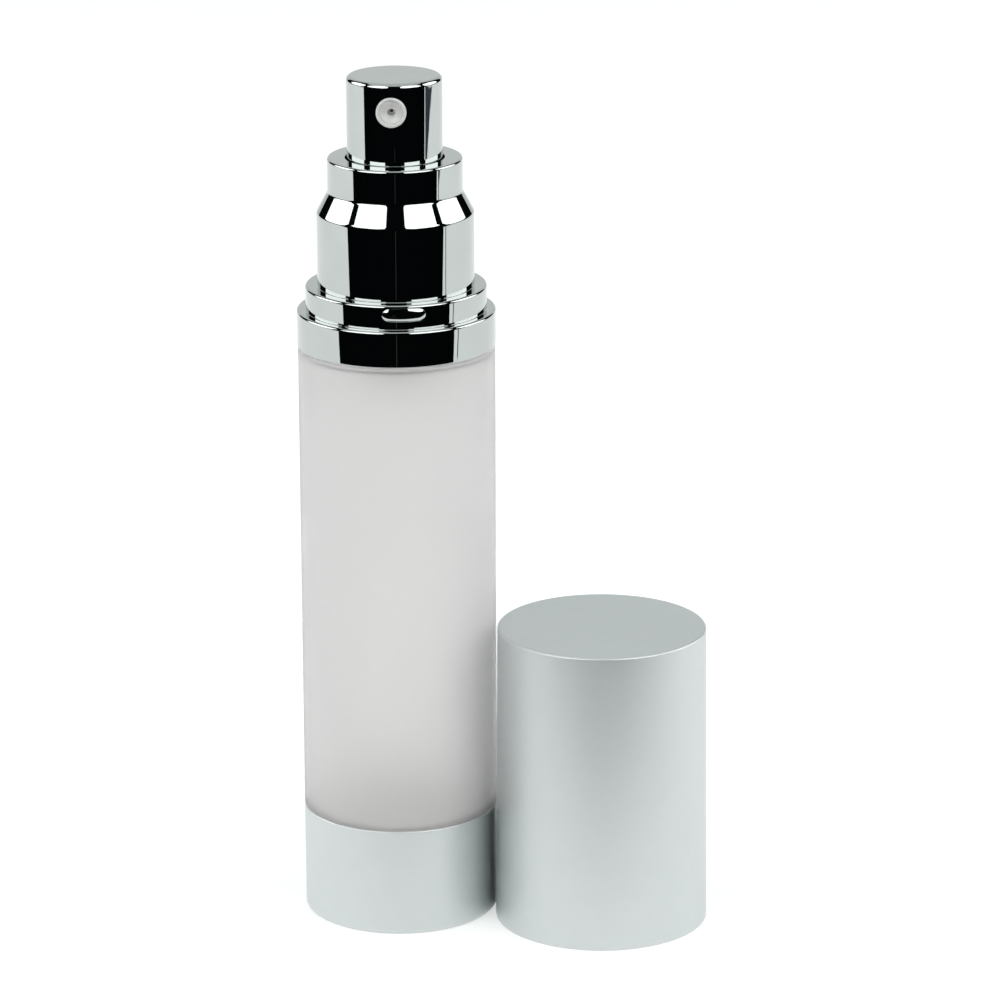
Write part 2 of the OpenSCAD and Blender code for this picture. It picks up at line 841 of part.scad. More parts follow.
module cap_liner() {
    out_r = function(z) cap_mouth_r - cap_draft * z / cap_h - cap_wall - snug;
    sleeve_z = liner_ledge_z + sleeve_h;
    under_z = liner_top_z - liner_top_t;
    rib_l = 4;
    rib_h = 2;
    rib_t = 0.8;
    rib_sink = 0.3;
    color(NATURAL)
    translate(cap_pos)
    union() {
        turned([
            [liner_skirt_r, liner_mouth_z, sheet_r],
            [out_r(liner_mouth_z), liner_mouth_z],
            [out_r(liner_top_z), liner_top_z, edge_r],
            [0, liner_top_z],
            [0, under_z],
            [liner_bore_r, under_z, root_r],
            [liner_bore_r, sleeve_z + lead],
            [liner_seat_r, sleeve_z],
            [liner_seat_r, liner_ledge_z, edge_r],
            [liner_skirt_r, liner_ledge_z]
        ]);
        for (i = [0 : liner_rib_n - 1]) rotate(i * 360 / liner_rib_n)
            translate([liner_bore_r - rib_l, -rib_t / 2, under_z - rib_h])
                cube([rib_l + rib_sink, rib_t, rib_h + rib_sink]);
    }
}

bottle_tube();
base_shell();
base_plug();
follower_piston();
pump_housing();
neck_gasket();
pump_retainer();
ball_cage();
inlet_ball();
screw_closure();
collar_shell();
lower_stem();
upper_stem();
pump_piston();
return_spring();
outlet_ball();
actuator_core();
actuator_shell();
nozzle_insert();
cap_shell();
cap_liner();
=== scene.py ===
import json
import math

import bmesh
import bpy
from bpy.props import FloatProperty, FloatVectorProperty, IntProperty, PointerProperty
from mathutils import Matrix, Vector


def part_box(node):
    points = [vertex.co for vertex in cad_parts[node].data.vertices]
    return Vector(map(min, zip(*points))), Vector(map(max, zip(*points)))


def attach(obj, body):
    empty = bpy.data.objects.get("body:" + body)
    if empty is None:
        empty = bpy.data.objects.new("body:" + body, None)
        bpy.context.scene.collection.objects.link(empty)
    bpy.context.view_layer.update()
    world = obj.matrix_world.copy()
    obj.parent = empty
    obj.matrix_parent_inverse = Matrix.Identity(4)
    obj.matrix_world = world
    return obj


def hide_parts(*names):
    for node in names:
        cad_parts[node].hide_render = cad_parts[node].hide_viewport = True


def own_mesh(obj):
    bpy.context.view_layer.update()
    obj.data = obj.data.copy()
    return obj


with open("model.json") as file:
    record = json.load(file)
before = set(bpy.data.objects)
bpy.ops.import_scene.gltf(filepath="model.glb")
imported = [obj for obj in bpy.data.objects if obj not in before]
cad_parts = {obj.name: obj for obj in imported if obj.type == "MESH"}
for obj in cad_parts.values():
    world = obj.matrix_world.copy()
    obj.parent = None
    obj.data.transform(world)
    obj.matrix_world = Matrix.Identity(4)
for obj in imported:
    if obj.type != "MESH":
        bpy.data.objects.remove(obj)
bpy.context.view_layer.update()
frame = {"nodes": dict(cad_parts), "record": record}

bl_info = {
    "name": "Airless pump bottle",
    "version": (1, 0, 0),
    "blender": (4, 5, 0),
    "location": "View3D > Sidebar > Bottle",
    "description": "Builds the visible pieces of an airless pump bottle round its fixed frame",
    "category": "Object",
}


def mm(value):
    """Millimetres to metres."""
    return value / 1000


def hex_colour(code):
    """A colour written as an sRGB hex value, as linear red, green, blue and alpha."""
    parts = [int(code[i:i + 2], 16) / 255 for i in (0, 2, 4)]
    linear = [p / 12.92 if p <= 0.04045 else ((p + 0.055) / 1.055) ** 2.4 for p in parts]
    return (*linear, 1.0)


def rgb(code):
    """The first three parts of a hex colour, for a colour property's default."""
    return hex_colour(code)[:3]


def span(node):
    """The lowest level, the highest level and the outer radius of a node turned about its own axis."""
    low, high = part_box(node)
    return low.z, high.z, (high.x - low.x) / 2


# Sizes that the frame gives
TUBE_Z0, NECK_Z1, BOTTLE_R = span("bottle_tube")
BASE_Z0, BASE_Z1, BASE_R = span("base_shell")
COLLAR_Z0, COLLAR_Z1 = span("collar_shell")[:2]
BUTTON_Z0, BUTTON_Z1, BUTTON_R = span("actuator_shell")
CAP_Z0, CAP_Z1, CAP_R = span("cap_shell")
LINER_Z0, LINER_Z1 = span("cap_liner")[:2]
FOLLOWER_Z0, FOLLOWER_Z1, FOLLOWER_R = span("follower_piston")
SPRING_Z0, SPRING_Z1, SPRING_R = span("return_spring")
CAP_AXIS = sum(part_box("cap_shell"), Vector()) / 2

# Corners that look sharp still have a tiny radius, and flat walls keep a thin band beside each corner
MICRO = mm(0.05)
BAND = mm(0.03)

# The other roundings, from fine lips and cut sheet to the corners of thick mouldings
FINE, SHEET, EASED, ROLLED, SOFT, FULL = mm(0.1), mm(0.15), mm(0.2), mm(0.25), mm(0.3), mm(0.4)

# Pieces that are pressed together keep this clearance
SNUG = mm(0.03)

# Flat sides round a turned piece: plating, which mirrors every one of them, has the most
SMALL_SIDES, SIDES, MIRROR_SIDES = 128, 192, 256


class BottleSizes(bpy.types.PropertyGroup):
    wall: FloatProperty(
        name="Tube wall", description="Wall of the frosted tube", default=mm(1.8), unit="LENGTH")
    shoulder: FloatProperty(
        name="Shoulder", description="Thickness of the tube's shoulder", default=mm(0.8), unit="LENGTH")
    shoulder_gap: FloatProperty(
        name="Shoulder gap", description="Gap between the shoulder and the collar", default=mm(0.3),
        unit="LENGTH")
    neck_r: FloatProperty(
        name="Neck radius", description="Outer radius of the neck", default=mm(13.27), unit="LENGTH")
    neck_wall: FloatProperty(name="Neck wall", description="Wall of the neck", default=mm(1.6), unit="LENGTH")
    thread_depth: FloatProperty(
        name="Thread depth", description="Height of the neck's thread ridge", default=mm(0.7), unit="LENGTH")
    thread_pitch: FloatProperty(
        name="Thread pitch", description="Rise of the thread in one turn", default=mm(2.4), unit="LENGTH")
    thread_turns: FloatProperty(
        name="Thread turns", description="Length of the thread in turns", default=1.25)
    base_wall: FloatProperty(
        name="Base sheet", description="Sheet thickness of the base cup", default=mm(0.5), unit="LENGTH")
    base_edge: FloatProperty(
        name="Base edge", description="Rounding of the base's lower edge", default=mm(0.8), unit="LENGTH")
    foot_w: FloatProperty(
        name="Foot width", description="Width of the foot ring outside the groove", default=mm(4),
        unit="LENGTH")
    groove_h: FloatProperty(
        name="Groove depth", description="Depth of the groove in the underside", default=mm(0.2),
        unit="LENGTH")
    vent_r: FloatProperty(
        name="Vent radius", description="Radius of the air vent", default=mm(0.75), unit="LENGTH")
    vent_at: FloatProperty(
        name="Vent place", description="Distance of the air vent from the axis", default=mm(6), unit="LENGTH")
    frost: FloatVectorProperty(
        name="Frosted tint", description="Colour of the frosted tube", default=rgb("FAF9F9"), subtype="COLOR")


class FollowerSizes(bpy.types.PropertyGroup):
    lip_h: FloatProperty(
        name="Lip height", description="Height of each wiping lip", default=mm(1.8), unit="LENGTH")
    wall: FloatProperty(
        name="Wall", description="Wall of the follower piston", default=mm(1.1), unit="LENGTH")
    pocket_r: FloatProperty(
        name="Pocket radius", description="Radius of the pocket for the pump's nose", default=mm(6.7),
        unit="LENGTH")
    pocket_h: FloatProperty(
        name="Pocket depth", description="Depth of that pocket", default=mm(5.4), unit="LENGTH")


class CollarSizes(bpy.types.PropertyGroup):
    ring_h: FloatProperty(
        name="Ring height", description="Height of the lower ring", default=mm(6.2), unit="LENGTH")
    seat_r: FloatProperty(
        name="Seat radius", description="Radius of the cap seat", default=mm(15.15), unit="LENGTH")
    seat_h: FloatProperty(
        name="Seat height", description="Height of the cap seat", default=mm(4.1), unit="LENGTH")
    shroud_r: FloatProperty(
        name="Shroud radius", description="Radius of the wide shroud", default=mm(13.125), unit="LENGTH")
    shroud_h: FloatProperty(
        name="Shroud height", description="Height of the wide shroud", default=mm(12.4), unit="LENGTH")
    cone_h: FloatProperty(
        name="Cone height", description="Height of the cone", default=mm(3.55), unit="LENGTH")
    top_r: FloatProperty(
        name="Top radius", description="Radius of the narrow shroud", default=mm(11.25), unit="LENGTH")
    wall: FloatProperty(name="Wall", description="Wall of the collar shell", default=mm(0.8), unit="LENGTH")
    edge: FloatProperty(
        name="Edge", description="Rounding of the collar's edges", default=mm(0.45), unit="LENGTH")
    cone_edge: FloatProperty(
        name="Cone edge", description="Rounding where the cone meets the shrouds", default=mm(1.2),
        unit="LENGTH")
    button_gap: FloatProperty(
        name="Button gap", description="Gap between the button and the collar", default=mm(0.3),
        unit="LENGTH")
    bead_w: FloatProperty(
        name="Bead width", description="Width of a snap bead", default=mm(7.3), unit="LENGTH")
    bead_h: FloatProperty(
        name="Bead height", description="Height of a snap bead", default=mm(2.3), unit="LENGTH")
    bead_up: FloatProperty(
        name="Bead level", description="Height of a bead's middle above the lower ring", default=mm(2.45),
        unit="LENGTH")
    bead_out: FloatProperty(
        name="Bead swell", description="How far a snap bead stands out", default=mm(0.25), unit="LENGTH")
    bead_n: IntProperty(name="Beads", description="Number of snap beads", default=3)
    bead_angle: FloatProperty(
        name="Bead angle", description="Angle of the first bead from the nozzle", default=math.radians(8.7),
        subtype="ANGLE")


class ButtonSizes(bpy.types.PropertyGroup):
    wall: FloatProperty(name="Wall", description="Wall of the button shell", default=mm(0.8), unit="LENGTH")
    edge: FloatProperty(
        name="Edge", description="Rounding of the button's top edge", default=mm(0.8), unit="LENGTH")
    hole_r: FloatProperty(
        name="Hole radius", description="Radius of the hole for the nozzle", default=mm(2.53), unit="LENGTH")
    nozzle_r: FloatProperty(
        name="Nozzle radius", description="Radius of the nozzle insert", default=mm(2.5), unit="LENGTH")
    rim: FloatProperty(
        name="Rim", description="Width of the nozzle's raised rim", default=mm(0.42), unit="LENGTH")
    dish: FloatProperty(
        name="Dish", description="Depth of the nozzle's dished face", default=mm(0.55), unit="LENGTH")
    outlet_r: FloatProperty(
        name="Outlet radius", description="Radius of the outlet hole", default=mm(0.65), unit="LENGTH")
    recess: FloatProperty(
        name="Outlet depth", description="Depth of the outlet hole down to its fine orifice",
        default=mm(1.25), unit="LENGTH")
    orifice_r: FloatProperty(
        name="Orifice radius", description="Radius of the fine orifice in the outlet hole", default=mm(0.25),
        unit="LENGTH")
    nozzle_colour: FloatVectorProperty(
        name="Nozzle colour", description="Colour of the nozzle insert", default=rgb("EAEBE9"),
        subtype="COLOR")


class CapSizes(bpy.types.PropertyGroup):
    draft: FloatProperty(
        name="Draft", description="How much the radius narrows towards the top", default=mm(0.4),
        unit="LENGTH")
    wall: FloatProperty(
        name="Sheet", description="Sheet thickness of the cap", default=mm(0.6), unit="LENGTH")
    edge: FloatProperty(
        name="Edge", description="Rounding of the cap's top edge", default=mm(0.4), unit="LENGTH")
    liner_wall: FloatProperty(
        name="Liner wall", description="Wall of the liner above its sleeve", default=mm(1), unit="LENGTH")
    skirt_wall: FloatProperty(
        name="Skirt wall", description="Wall of the liner at its mouth", default=mm(0.6), unit="LENGTH")
    skirt_h: FloatProperty(
        name="Skirt height", description="Height of the wide mouth of the liner", default=mm(6.3),
        unit="LENGTH")
    sleeve_r: FloatProperty(
        name="Sleeve radius", description="Inner radius of the gripping sleeve", default=mm(15.45),
        unit="LENGTH")
    sleeve_h: FloatProperty(
        name="Sleeve height", description="Height of the gripping sleeve", default=mm(7), unit="LENGTH")
    rib_n: IntProperty(name="Ribs", description="Number of ribs under the liner's top", default=8)


class MetalColours(bpy.types.PropertyGroup):
    plating: FloatVectorProperty(
        name="Plating", description="Colour of the bright plating", default=rgb("BBC0BE"), subtype="COLOR")
    satin: FloatVectorProperty(
        name="Satin metal", description="Colour of the anodised base and cap", default=rgb("D5DADA"),
        subtype="COLOR")


def add_node(tree, kind, values=None, links=None, **settings):
    """Adds a node with its settings, its socket values and its links from other sockets."""
    made = tree.nodes.new(kind)
    for key, value in settings.items():
        setattr(made, key, value)
    for key, value in (values or {}).items():
        made.inputs[key].default_value = value
    for key, socket in (links or {}).items():
        tree.links.new(socket, made.inputs[key])
    return made


def new_material(name):
    """An empty node material and its tree."""
    material = bpy.data.materials.new(name)
    material.use_nodes = True
    material.node_tree.nodes.clear()
    return material, material.node_tree


def plain_material(name, kind, values):
    """A stage material of one shader."""
    material, tree = new_material(name)
    shader = add_node(tree, kind, values)
    add_node(tree, "ShaderNodeOutputMaterial", links={"Surface": shader.outputs[0]})
    return material


def shade(colour, factor):
    """A linear colour made darker or lighter."""
    return (*[min(1.0, c * factor) for c in colour[:3]], 1.0)


def worked_surface(name, values, tone, rough=None, relief=None, detail=2.0):
    """A material whose tone, roughness and relief each wander with a grain of a real size in metres.

    The tone is (size, dark colour, light colour), the roughness is (size, low, high), and the relief is
    (size, height).
    """
    # A noise seldom leaves the middle of its range, so the full effect is reached at these ends of it
    tone_ends, rough_ends = (0.35, 0.65), (0.3, 0.7)
    material, tree = new_material(name)
    where = add_node(tree, "ShaderNodeTexCoord").outputs["Object"]
    grains = {}
    for size in sorted({part[0] for part in (tone, rough, relief) if part}):
        noise = add_node(
            tree, "ShaderNodeTexNoise",
            {"Scale": 1 / size, "Detail": detail, "Roughness": 0.55}, {"Vector": where})
        grains[size] = noise.outputs["Fac"]
    ramp = add_node(tree, "ShaderNodeValToRGB", links={"Fac": grains[tone[0]]})
    for element, spot, colour in zip(ramp.color_ramp.elements, tone_ends, tone[1:]):
        element.position, element.color = spot, colour
    links = {"Base Color": ramp.outputs["Color"]}
    if rough:
        wander = add_node(
            tree, "ShaderNodeMapRange",
            {"From Min": rough_ends[0], "From Max": rough_ends[1], "To Min": rough[1], "To Max": rough[2]},
            {"Value": grains[rough[0]]})
        links["Roughness"] = wander.outputs["Result"]
    if relief:
        bump = add_node(tree, "ShaderNodeBump", {"Distance": relief[1]}, {"Height": grains[relief[0]]})
        links["Normal"] = bump.outputs["Normal"]
    shader = add_node(tree, "ShaderNodeBsdfPrincipled", values, links)
    add_node(tree, "ShaderNodeOutputMaterial", links={"Surface": shader.outputs["BSDF"]})
    return material


def chrome_plated_abs():
    """Bright nickel and chromium plating on moulded ABS: a mirror with the moulding's faint flow waves."""
    colour = bpy.context.scene.bottle_metals.plating
    cloud, wipe, wave = mm(6), mm(0.6), mm(3.5)
    return worked_surface(
        "chrome_plated_abs", {"Metallic": 1.0},
        tone=(cloud, shade(colour, 0.97), shade(colour, 1.0)),
        rough=(wipe, 0.01, 0.03),
        relief=(wave, mm(0.0025)), detail=1.0)


def satin_anodised_aluminium():
    """Drawn aluminium, bead-blasted and clear anodised: a soft metal sheen with a very fine grain."""
    colour = bpy.context.scene.bottle_metals.satin
    # The blasted grain is about 0.04 mm, drawn here at 0.12 mm so that it shows
    grain, patch = mm(0.12), mm(4)
    return worked_surface(
        "satin_anodised_aluminium", {"Metallic": 1.0},
        tone=(grain, shade(colour, 0.955), shade(colour, 1.0)),
        rough=(patch, 0.46, 0.52),
        relief=(grain, mm(0.004)), detail=3.0)


def frosted_styrene():
    """Clear styrene polymer moulded against a blasted tool: milky light comes through, and edges blur."""
    tint = bpy.context.scene.bottle_sizes.frost
    # The moulded frosting is about 0.05 mm, drawn at 0.15 mm so that it shows
    flow, frosting = mm(9), mm(0.15)
    return worked_surface(
        "frosted_styrene",
        {"Roughness": 0.52, "IOR": 1.57, "Transmission Weight": 0.86, "Specular IOR Level": 0.4},
        tone=(flow, shade(tint, 0.985), shade(tint, 1.0)),
        relief=(frosting, mm(0.003)), detail=3.0)


def natural_polypropylene():
    """Uncoloured moulded polypropylene: milky, waxy and a little see-through, with a soft gloss."""
    flow, tool_marks, glow_depth = mm(5), mm(0.4), mm(1.5)
    return worked_surface(
        "natural_polypropylene",
        {"IOR": 1.49, "Subsurface Weight": 0.25, "Subsurface Radius": (1, 1, 1),
         "Subsurface Scale": glow_depth},
        tone=(flow, hex_colour("DDDEDB"), hex_colour("E8E9E6")),
        rough=(tool_marks, 0.36, 0.46),
        relief=(tool_marks, mm(0.003)))


def nozzle_polypropylene():
    """Off-white moulded polypropylene with a polished tool: glossier than the inner pieces."""
    colour = bpy.context.scene.button_sizes.nozzle_colour
    flow, tool_marks, glow_depth = mm(1.5), mm(0.3), mm(1.2)
    return worked_surface(
        "nozzle_polypropylene",
        {"IOR": 1.49, "Subsurface Weight": 0.6, "Subsurface Radius": (1, 1, 1),
         "Subsurface Scale": glow_depth},
        tone=(flow, shade(colour, 0.96), shade(colour, 1.0)),
        rough=(flow, 0.2, 0.28),
        relief=(tool_marks, mm(0.0015)))


def soft_elastomer():
    """Moulded thermoplastic elastomer: grey, matt and slightly tacky."""
    flow, texture = mm(2), mm(0.25)
    return worked_surface(
        "soft_elastomer", {"IOR": 1.5},
        tone=(flow, hex_colour("8C8E8F"), hex_colour("9A9C9D")),
        rough=(texture, 0.6, 0.75),
        relief=(texture, mm(0.006)), detail=3.0)


def drawn_spring_steel():
    """Stainless spring wire: bright, with fine marks left by the drawing die."""
    marks = mm(0.2)
    return worked_surface(
        "drawn_spring_steel", {"Metallic": 1.0},
        tone=(marks, hex_colour("B4B7BA"), hex_colour("C9CBCD")),
        rough=(marks, 0.2, 0.36),
        relief=(marks, mm(0.004)), detail=4.0)


def polished_ball_steel():
    """Ground and polished stainless steel balls: nearly a mirror."""
    haze = mm(0.3)
    return worked_surface(
        "polished_ball_steel", {"Metallic": 1.0},
        tone=(haze, hex_colour("C6C8CA"), hex_colour("D0D2D4")),
        rough=(haze, 0.06, 0.12))


MATERIALS = {
    "frosted_tube": frosted_styrene,
    "satin_aluminium": satin_anodised_aluminium,
    "chrome_plated_abs": chrome_plated_abs,
    "natural_pp": natural_polypropylene,
    "nozzle_pp": nozzle_polypropylene,
    "elastomer": soft_elastomer,
    "spring_steel": drawn_spring_steel,
    "ball_steel": polished_ball_steel,
}


def finish_of(slot):
    """The material of a slot, made once."""
    name = "made_" + slot
    found = bpy.context.scene.get(name)
    if found is None:
        found = MATERIALS[slot]()
        bpy.context.scene[name] = found
    return found


def rounded(outline, closed, steps=8, fewest=3):
    """The points of an outline with its corners rounded.

    Each corner is (radius, level) or (radius, level, rounding).
    """
    corners = [(Vector(c[:2]), c[2] if len(c) > 2 else MICRO) for c in outline]
    count = len(corners)
    points = []
    for i, (at, fillet) in enumerate(corners):
        if not closed and i in (0, count - 1):
            points.append(at)
            continue
        to_last = corners[i - 1][0] - at
        to_next = corners[(i + 1) % count][0] - at
        u, w = to_last.normalized(), to_next.normalized()
        half = math.acos(max(-1.0, min(1.0, u.dot(w)))) / 2
        reach = fillet / math.tan(half)
        centre = at + (u + w).normalized() * fillet / math.sin(half)
        start, end = at + u * reach, at + w * reach
        first, last = start - centre, end - centre
        turn = math.atan2(first.x * last.y - first.y * last.x, first.dot(last))
        parts = steps if fillet > MICRO else fewest
        points.append(start + u * BAND)
        for k in range(parts + 1):
            angle = turn * k / parts
            points.append(centre + Matrix.Rotation(angle, 2) @ first)
        points.append(end + w * BAND)
    return points


def mesh_object(name, bm):
    """A smooth-shaded object from a bmesh, with its normals outwards."""
    bmesh.ops.recalc_face_normals(bm, faces=bm.faces)
    for face in bm.faces:
        face.smooth = True
    mesh = bpy.data.meshes.new(name)
    bm.to_mesh(mesh)
    bm.free()
    made = bpy.data.objects.new(name, mesh)
    bpy.context.scene.collection.objects.link(made)
    return made


def turn_outline(bm, points, closed, segments):
    """Turns a row of (radius, level) points about Z. Points on the axis become one vertex."""
    on_axis = mm(0.0005)
    rings = []
    for p in points:
        if p.x < on_axis:
            rings.append([bm.verts.new((0, 0, p.y))])
        else:
            angles = [2 * math.pi * k / segments for k in range(segments)]
            rings.append([bm.verts.new((p.x * math.cos(a), p.x * math.sin(a), p.y)) for a in angles])
    pairs = list(zip(rings, rings[1:] + rings[:1])) if closed else list(zip(rings, rings[1:]))
    for low, high in pairs:
        for k in range(segments):
            after = (k + 1) % segments
            corners = [low[k % len(low)], low[after % len(low)], high[after % len(high)], high[k % len(high)]]
            bm.faces.new(list(dict.fromkeys(corners)))


def lathe(name, outline, closed=True, segments=SIDES):
    """A turned piece about Z."""
    bm = bmesh.new()
    turn_outline(bm, rounded(outline, closed), closed, segments)
    return mesh_object(name, bm)


def helix(bm, section, turns, pitch, steps, fade=0.0):
    """Sweeps a section of (radius, level) points along a helix.

    It takes this many steps in a turn. Where it fades, it shrinks towards its first point's radius.
    """
    stub = 0.1
    count = math.ceil(turns * steps)
    rings = []
    for i in range(count + 1):
        turn = turns * i / count
        grow = min(1.0, turn / fade + stub, (turns - turn) / fade + stub) if fade else 1.0
        angle = turn * 2 * math.pi
        level = pitch(turn) if callable(pitch) else pitch * turn
        root = section[0][0]
        ring = []
        for r, z in section:
            radius = root + (r - root) * grow
            ring.append(bm.verts.new((radius * math.cos(angle), radius * math.sin(angle), level + z)))
        rings.append(ring)
    sides = len(section)
    for a, b in zip(rings, rings[1:]):
        for j in range(sides):
            k = (j + 1) % sides
            bm.faces.new((a[j], a[k], b[k], b[j]))
    bm.faces.new(rings[0])
    bm.faces.new(rings[-1])


def bore(piece, radius, middle, along, length, segments=96):
    """Cuts a round hole of this length round its middle into a piece."""
    bm = bmesh.new()
    turned = Vector((0, 0, 1)).rotation_difference(Vector(along)).to_matrix().to_4x4()
    bmesh.ops.create_cone(
        bm, cap_ends=True, segments=segments, radius1=radius, radius2=radius, depth=length,
        matrix=Matrix.Translation(middle) @ turned)
    cutter = mesh_object("cutter", bm)
    cut = piece.modifiers.new("hole", "BOOLEAN")
    cut.operation, cut.solver, cut.object = "DIFFERENCE", "EXACT", cutter
    mesh = bpy.data.meshes.new_from_object(piece.evaluated_get(bpy.context.evaluated_depsgraph_get()))
    piece.modifiers.clear()
    piece.data = mesh
    bpy.data.objects.remove(cutter)


def round_normals(piece, radius):
    """Gives a wall cut by a hole the exact normals of its cylinder."""
    near = mm(0.01)
    mesh = piece.data
    normals = [Vector()] * len(mesh.loops)
    for face in mesh.polygons:
        corners = [mesh.vertices[mesh.loops[i].vertex_index].co for i in face.loop_indices]
        if all(abs(Vector(c[:2]).length - radius) < near for c in corners):
            for i, c in zip(face.loop_indices, corners):
                normals[i] = Vector((c.x, c.y, 0)).normalized()
    mesh.normals_split_custom_set(normals)


def place(piece, slot, body, *nodes):
    """Finishes a piece: its material, the nodes that it stands for, and the body that it rides."""
    piece.data.materials.clear()
    piece.data.materials.append(finish_of(slot))
    if nodes:
        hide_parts(*nodes)
    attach(piece, body)
    return piece


class BOTTLE_OT_tube(bpy.types.Operator):
    """Makes the frosted tube with its threaded neck"""
    bl_idname = "bottle.tube"
    bl_label = "Frosted tube"

    def execute(self, context):
        s = context.scene.bottle_sizes
        bore_r = BOTTLE_R - s.wall
        spigot_r = BOTTLE_R - s.base_wall - SNUG
        shoulder_z = COLLAR_Z0 - s.shoulder_gap
        # The shoulder is thinner than the solid's, which would show as a dark band under the collar
        under_z = shoulder_z - s.shoulder
        bm = bmesh.new()
        turn_outline(bm, rounded([
            (bore_r, TUBE_Z0),
            (spigot_r, TUBE_Z0, EASED),
            (spigot_r, BASE_Z1 + SNUG),
            (BOTTLE_R, BASE_Z1 + SNUG, SHEET),
            (BOTTLE_R, shoulder_z, FULL),
            (s.neck_r, shoulder_z, EASED),
            (s.neck_r, NECK_Z1, SOFT),
            (s.neck_r - s.neck_wall, NECK_Z1, SOFT),
            (s.neck_r - s.neck_wall, under_z, SOFT),
            (bore_r, under_z, FULL),
        ], True), True, SIDES)
        half_root, half_crest, sink, lead = mm(0.5), mm(0.25), mm(0.25), mm(1)
        root_r, crest_r = s.neck_r - sink, s.neck_r + s.thread_depth
        ridge = [(root_r, -half_root), (crest_r, -half_crest), (crest_r, half_crest), (root_r, half_root)]
        ridge = [(r, z + (shoulder_z + lead)) for r, z in ridge]
        helix(bm, ridge, s.thread_turns, s.thread_pitch, steps=96, fade=0.125)
        place(mesh_object("tube", bm), "frosted_tube", "bottle", "bottle_tube")
        return {"FINISHED"}


class BOTTLE_OT_base(bpy.types.Operator):
    """Makes the satin metal base cup"""
    bl_idname = "bottle.base"
    bl_label = "Base cup"

    def execute(self, context):
        s = context.scene.bottle_sizes
        groove_r = BASE_R - s.foot_w
        groove_w = mm(0.8)
        cup = lathe("base_cup", [
            (0, BASE_Z0),
            (groove_r - groove_w, BASE_Z0, FINE),
            (groove_r - groove_w * 0.75, BASE_Z0 + s.groove_h, FINE),
            (groove_r - groove_w * 0.25, BASE_Z0 + s.groove_h, FINE),
            (groove_r, BASE_Z0, FINE),
            (BASE_R, BASE_Z0, s.base_edge),
            (BASE_R, BASE_Z1, ROLLED),
            (BASE_R - s.base_wall, BASE_Z1, SHEET),
            (BASE_R - s.base_wall, BASE_Z0 + s.base_wall, EASED),
            (0, BASE_Z0 + s.base_wall),
        ], closed=False)
        bore(cup, s.vent_r, (0, s.vent_at, BASE_Z0), along=(0, 0, 1), length=mm(4))
        place(cup, "satin_aluminium", "bottle", "base_shell")
        return {"FINISHED"}


class BOTTLE_OT_follower(bpy.types.Operator):
    """Makes the follower piston that shows dimly through the tube"""
    bl_idname = "bottle.follower"
    bl_label = "Follower piston"

    def execute(self, context):
        s = context.scene.follower_sizes
        waist_r = FOLLOWER_R - mm(0.5)
        skirt_r = waist_r - s.wall
        deck_z = FOLLOWER_Z1 - s.lip_h
        floor_z = FOLLOWER_Z1 - s.pocket_h
        slope, tip, lip_foot = mm(0.5), mm(0.4), mm(0.6)
        pocket_edge = mm(0.8)
        piece = lathe("follower", [
            (0, floor_z),
            (s.pocket_r, floor_z, pocket_edge),
            (s.pocket_r, deck_z, FULL),
            (skirt_r - lip_foot, deck_z, FULL),
            (FOLLOWER_R - tip, FOLLOWER_Z1, FINE),
            (FOLLOWER_R, FOLLOWER_Z1, FINE),
            (FOLLOWER_R, deck_z, EASED),
            (waist_r, deck_z - slope, SOFT),
            (waist_r, FOLLOWER_Z0 + s.lip_h + slope, SOFT),
            (FOLLOWER_R, FOLLOWER_Z0 + s.lip_h, EASED),
            (FOLLOWER_R, FOLLOWER_Z0, FINE),
            (FOLLOWER_R - tip, FOLLOWER_Z0, FINE),
            (skirt_r, FOLLOWER_Z0 + s.lip_h, SOFT),
            (skirt_r, deck_z - s.wall, FULL),
            (s.pocket_r + s.wall, deck_z - s.wall, FULL),
            (s.pocket_r + s.wall, floor_z - s.wall, pocket_edge),
            (0, floor_z - s.wall),
        ], closed=False, segments=SMALL_SIDES)
        place(piece, "natural_pp", "follower", "follower_piston")
        return {"FINISHED"}


def snap_bead(bm, radius, level, s, angle):
    """Adds one snap bead: a round-ended pad with bowed sides that swells out of the seat, closed behind."""
    end_r = s.bead_h / 2
    straight = s.bead_w / 2 - end_r
    swell_r = (end_r ** 2 + s.bead_out ** 2) / (2 * s.bead_out)
    rings, around, along = 10, 24, 12
    # The sides bow in by this share towards the ends, and the back lies this deep in the wall
    bow, sink = 0.15, mm(0.3)
    edge = [(straight + end_r * math.sin(math.pi * k / around), -end_r * math.cos(math.pi * k / around))
            for k in range(around + 1)]
    edge += [(straight - 2 * straight * k / along, end_r) for k in range(1, along)]
    edge += [(-straight - end_r * math.sin(math.pi * k / around), end_r * math.cos(math.pi * k / around))
             for k in range(around + 1)]
    edge += [(-straight + 2 * straight * k / along, -end_r) for k in range(1, along)]

    def vertex(x, z, out):
        turn = angle - math.pi / 2 + x / radius
        r = radius + out
        bowed = z * (1 - bow * (2 * x / s.bead_w) ** 2)
        return bm.verts.new((r * math.cos(turn), r * math.sin(turn), level + bowed))

    layers = [[vertex(x, z, -sink) for x, z in edge]]
    for i in range(rings):
        share = math.cos(math.pi / 2 * i / rings)
        ring = []
        for x, z in edge:
            mid = max(-straight, min(straight, x))
            away = share * end_r
            out = math.sqrt(swell_r ** 2 - away ** 2) - (swell_r - s.bead_out)
            ring.append(vertex(mid + (x - mid) * share, z * share, out))
        layers.append(ring)
    count = len(edge)
    for a, b in zip(layers, layers[1:]):
        for k in range(count):
            j = (k + 1) % count
            bm.faces.new((a[k], a[j], b[j], b[k]))
    bm.faces.new(layers[0])
    # The last ring is narrow and nearly flat, and one face closes it
    bm.faces.new(layers[-1])


